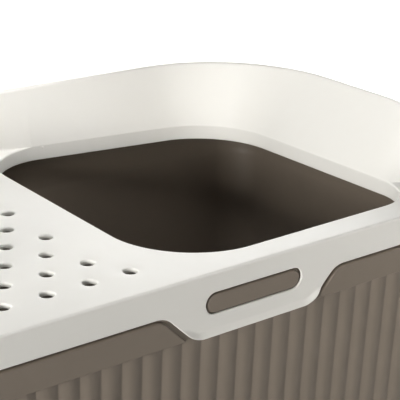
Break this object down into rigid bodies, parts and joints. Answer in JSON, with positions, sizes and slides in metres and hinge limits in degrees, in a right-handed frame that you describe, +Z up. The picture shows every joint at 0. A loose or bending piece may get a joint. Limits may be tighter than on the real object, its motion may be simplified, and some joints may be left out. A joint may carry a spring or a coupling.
{
  "type": "top entry litter box",
  "caption": "Deep reeded cat litter tub with a lift-off lid: perforated step deck, funnelled top entry, high rim round the back and ends, and slotted snap tongues on the long sides.",
  "frame": {"origin": "on the floor under the middle of the tub", "axes": "+Z up, +X along the length towards the entry end, -Y is the low front side"},
  "size_m": [0.598, 0.3974, 0.4],
  "materials": {
    "tub_plastic": "fine satin moulded polypropylene, warm taupe",
    "lid_plastic": "smooth satin moulded polypropylene, warm white"
  },
  "bodies": {
    "tub_body": {"tub": "tub_plastic", "front_latch_catch": "tub_plastic", "rear_latch_catch": "tub_plastic"},
    "lid_body": {"lid": "lid_plastic"},
    "front_tongue_body": {"front_latch_tongue": "lid_plastic"},
    "rear_tongue_body": {"rear_latch_tongue": "lid_plastic"}
  },
  "joints": [
    {"name": "lid_lift", "type": "slide", "parent": "tub_body", "child": "lid_body", "axis": [0, 0, 1], "range_m": [0, 0.3]},
    {"name": "front_latch_flex", "type": "hinge", "parent": "lid_body", "child": "front_tongue_body", "pos_m": [0, -0.1952, 0.323], "axis": [-1, 0, 0], "range_deg": [0, 8], "stiffness_Nm_per_rad": 4},
    {"name": "rear_latch_flex", "type": "hinge", "parent": "lid_body", "child": "rear_tongue_body", "pos_m": [0, 0.1952, 0.323], "axis": [1, 0, 0], "range_deg": [0, 8], "stiffness_Nm_per_rad": 4}
  ]
}
